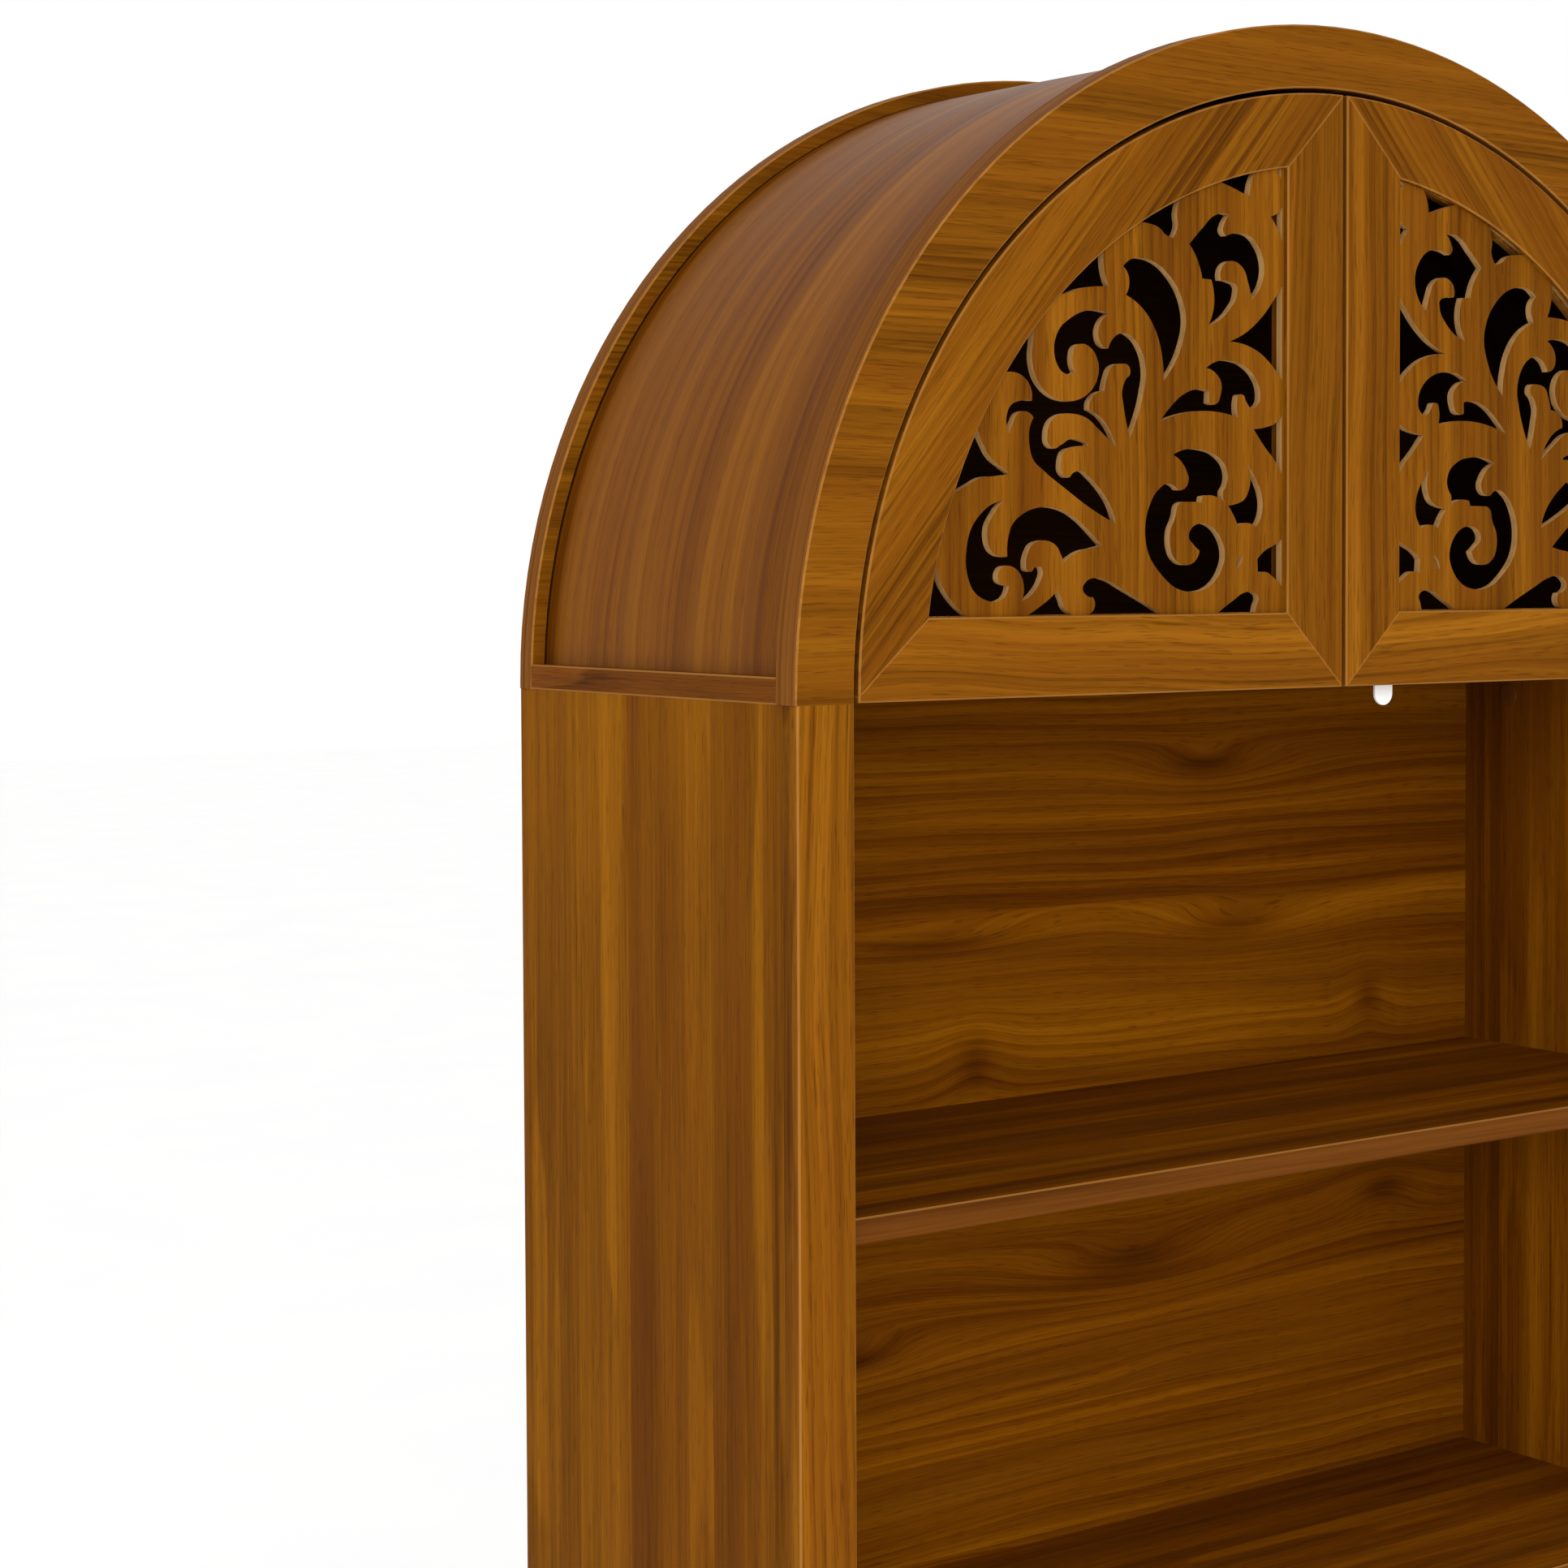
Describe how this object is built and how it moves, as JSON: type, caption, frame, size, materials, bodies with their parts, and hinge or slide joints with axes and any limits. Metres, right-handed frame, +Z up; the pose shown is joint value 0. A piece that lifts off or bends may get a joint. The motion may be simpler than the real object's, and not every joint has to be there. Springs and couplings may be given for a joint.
{
  "type": "arched cabinet",
  "caption": "Tall arch-topped cabinet: bent dome closed by two curved doors with sawn scroll fretwork, over open shelf bays on a plinth.",
  "frame": {"origin": "on the floor, under the middle of the cabinet's width and depth", "axes": "X to the right as seen from the front, Y from the front to the back, Z up; the doors face -Y"},
  "size_m": [0.8, 0.31, 1.6999],
  "materials": {
    "walnut_faced_board": "walnut-grained laminate on 15 mm board, satin",
    "walnut_veneer_skin": "walnut-grained laminate on a bent 5 mm sheet, satin",
    "walnut_back_sheet": "walnut-grained paper on thin hardboard, matt",
    "walnut_door_frame": "walnut-grained laminate on door board, satin",
    "walnut_fret_panel": "walnut-grained laminate, sawn through to a light core",
    "beech": "plain fluted dowel wood",
    "zinc_plated_steel": "bright zinc plate",
    "magnet_steel": "dark nickel plate",
    "brown_plastic": "moulded, matt brown",
    "clear_bumper_rubber": "soft translucent bumper",
    "white_plastic": "milky white strip"
  },
  "bodies": {
    "carcass": {"front_arch": "walnut_faced_board", "dome_back": "walnut_faced_board", "left_vault_skin": "walnut_veneer_skin", "right_vault_skin": "walnut_veneer_skin", "dome_floor": "walnut_faced_board", "left_side_panel": "walnut_faced_board", "right_side_panel": "walnut_faced_board", "left_stile": "walnut_faced_board", "right_stile": "walnut_faced_board", "upper_shelf": "walnut_faced_board", "middle_shelf": "walnut_faced_board", "lower_shelf": "walnut_faced_board", "bottom_panel": "walnut_faced_board", "plinth_front": "walnut_faced_board", "plinth_back": "walnut_faced_board", "upper_back_panel": "walnut_back_sheet", "lower_back_panel": "walnut_back_sheet", "arch_dowels": "beech", "floor_dowels": "beech", "stile_dowels": "beech", "shelf_dowels": "beech", "floor_bolts": "zinc_plated_steel", "floor_cams": "zinc_plated_steel", "cam_caps": "brown_plastic", "shelf_bolts": "zinc_plated_steel", "shelf_cams": "zinc_plated_steel", "floor_glides": "brown_plastic", "hinge_brackets": "zinc_plated_steel", "hinge_pins": "zinc_plated_steel", "magnetic_catch": "brown_plastic", "catch_magnets": "magnet_steel", "door_bumpers": "clear_bumper_rubber"},
    "left_door": {"left_bottom_rail": "walnut_door_frame", "left_meeting_stile": "walnut_door_frame", "left_arch_rail": "walnut_door_frame", "left_mitre_keys": "beech", "left_panel_beads": "walnut_door_frame", "left_fret_panel": "walnut_fret_panel", "left_hinge_arms": "zinc_plated_steel", "left_strike_plate": "zinc_plated_steel"},
    "right_door": {"right_bottom_rail": "walnut_door_frame", "right_meeting_stile": "walnut_door_frame", "right_arch_rail": "walnut_door_frame", "right_mitre_keys": "beech", "right_panel_beads": "walnut_door_frame", "right_fret_panel": "walnut_fret_panel", "right_hinge_arms": "zinc_plated_steel", "right_strike_plate": "zinc_plated_steel", "finger_pull": "white_plastic"}
  },
  "joints": [
    {"name": "left_door_hinge", "type": "hinge", "parent": "carcass", "child": "left_door", "pos_m": [-0.376, -0.146, 1.331], "axis": [0, 0, -1], "range_deg": [0, 90]},
    {"name": "right_door_hinge", "type": "hinge", "parent": "carcass", "child": "right_door", "pos_m": [0.376, -0.146, 1.331], "axis": [0, 0, 1], "range_deg": [0, 90]}
  ]
}
